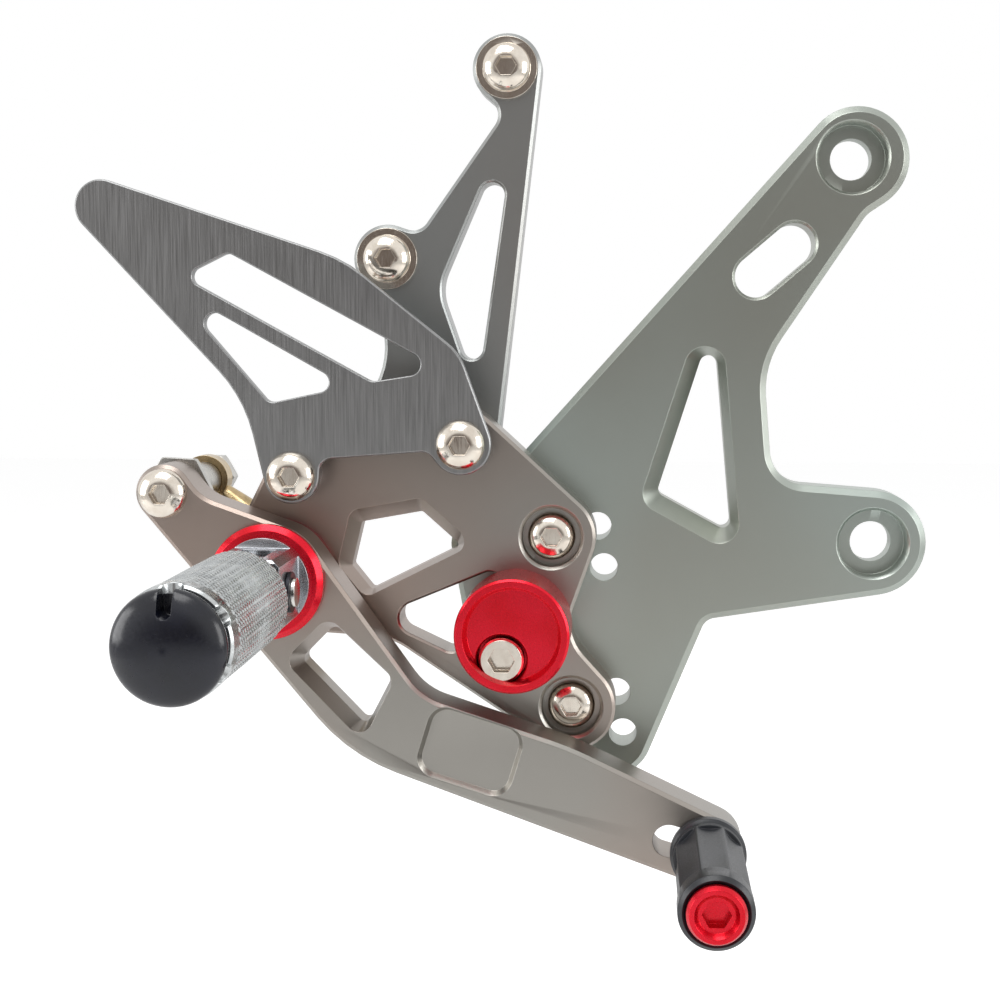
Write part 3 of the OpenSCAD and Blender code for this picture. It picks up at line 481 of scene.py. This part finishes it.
def soft_world(scene):
    """White for the camera. Metal sees white all round, but dim on the side that the plates face, where a
    studio's open side would be. All other rays get an even fill."""
    world = bpy.data.worlds.new("studio")
    world.use_nodes = True
    scene.world = world
    tree = world.node_tree
    tree.nodes.clear()
    seen, camera = seen_rays(tree)
    direction = add(tree, "ShaderNodeTexCoord").outputs["Generated"]
    facing = add(tree, "ShaderNodeVectorMath", {0: direction, 1: tuple(Vector(DIM_SIDE).normalized())},
                 operation="DOT_PRODUCT").outputs["Value"]
    turned = add(tree, "ShaderNodeMapRange", {
        "Value": facing, "From Min": DIM_INSIDE, "From Max": DIM_OUTSIDE, "To Min": 0.0, "To Max": 1.0,
    }).outputs["Result"]
    room = add(tree, "ShaderNodeValToRGB", {"Fac": turned})
    room.color_ramp.interpolation = "EASE"
    room.color_ramp.elements[0].color = linear(DIM_COLOUR)
    room.color_ramp.elements[1].color = WHITE
    surround = add(tree, "ShaderNodeBackground", {"Color": room.outputs["Color"], "Strength": 1.0})
    backdrop = add(tree, "ShaderNodeBackground", {"Color": WHITE, "Strength": 1.0})
    fill = add(tree, "ShaderNodeBackground", {"Color": WHITE, "Strength": 0.7})
    indirect = add(tree, "ShaderNodeMixShader", {"Fac": seen})
    tree.links.new(fill.outputs[0], indirect.inputs[1])
    tree.links.new(surround.outputs[0], indirect.inputs[2])
    mix = add(tree, "ShaderNodeMixShader", {"Fac": camera})
    tree.links.new(indirect.outputs[0], mix.inputs[1])
    tree.links.new(backdrop.outputs[0], mix.inputs[2])
    add(tree, "ShaderNodeOutputWorld", {"Surface": mix.outputs[0]})


def soft_light(name, offset, target, size, power):
    """Adds a square soft light that stands offset metres from a point and looks at it."""
    lamp = bpy.data.lights.new(name, "AREA")
    lamp.shape = "SQUARE"
    lamp.size = size
    lamp.energy = power
    made = bpy.data.objects.new(name, lamp)
    made.location = Vector(target) + Vector(offset)
    made.rotation_euler = (-Vector(offset)).to_track_quat("-Z", "Y").to_euler()
    bpy.context.scene.collection.objects.link(made)


class BuildStage(bpy.types.Operator):
    """Floor, light and camera"""
    bl_idname = "footrest.stage"
    bl_label = "Build the stage"

    def execute(self, context):
        scene = context.scene
        studio = scene.footrest_studio
        scene.view_settings.view_transform = "Standard"
        low, high = cad_box
        middle = [(a + b) / 2 for a, b in zip(low, high)]
        floor_z = low[2] - studio.floor_drop
        card("floor", [(x * FLOOR_REACH, y * FLOOR_REACH, floor_z)
                       for x, y in ((-1, -1), (1, -1), (1, 1), (-1, 1))], white_floor())
        soft_world(scene)
        soft_light("above", (-0.1, -0.25, 0.7), middle, 0.5, studio.key_power)
        for name, side in (("left", -1), ("right", 1)):
            soft_light(name, (side * 0.6, -0.15, 0.1), middle, 0.35, studio.key_power * 0.5)
        lens = bpy.data.cameras.new("camera")
        lens.lens = studio.lens
        lens.clip_start = CAMERA_CLIP
        camera = bpy.data.objects.new("camera", lens)
        camera.location = CAMERA_PLACE
        camera.rotation_euler = Vector(CAMERA_DIRECTION).to_track_quat("-Z", "Y").to_euler()
        scene.collection.objects.link(camera)
        scene.camera = camera
        return {"FINISHED"}


class FootrestPanel(bpy.types.Panel):
    """Shows the values and the steps in the sidebar"""
    bl_idname = "VIEW3D_PT_footrest"
    bl_label = "Footrest"
    bl_space_type = "VIEW_3D"
    bl_region_type = "UI"
    bl_category = "Footrest"

    def draw(self, context):
        for group in (context.scene.footrest_finishes, context.scene.footrest_sizes,
                      context.scene.footrest_studio):
            for name in group.__annotations__:
                self.layout.prop(group, name)
        for step in STEPS:
            self.layout.operator(step.bl_idname)


STEPS = (DressPlates, DressGuard, DressRedPieces, DressFasteners, DressPushrod, DressFootpeg, DressToePeg,
         BuildStage)
GROUPS = {"footrest_finishes": FootrestFinishes, "footrest_sizes": FootrestSizes,
          "footrest_studio": StudioSettings}


def register():
    for made in (*GROUPS.values(), *STEPS, FootrestPanel):
        bpy.utils.register_class(made)
    for name, group in GROUPS.items():
        setattr(bpy.types.Scene, name, bpy.props.PointerProperty(type=group))


def unregister():
    for name in GROUPS:
        delattr(bpy.types.Scene, name)
    for made in (FootrestPanel, *reversed(STEPS), *GROUPS.values()):
        bpy.utils.unregister_class(made)


def main():
    register()
    bpy.ops.footrest.plates()
    bpy.ops.footrest.guard()
    bpy.ops.footrest.red_pieces()
    bpy.ops.footrest.fasteners()
    bpy.ops.footrest.pushrod()
    bpy.ops.footrest.footpeg()
    bpy.ops.footrest.toe_peg()
    bpy.ops.footrest.stage()


if __name__ == "__main__":
    main()
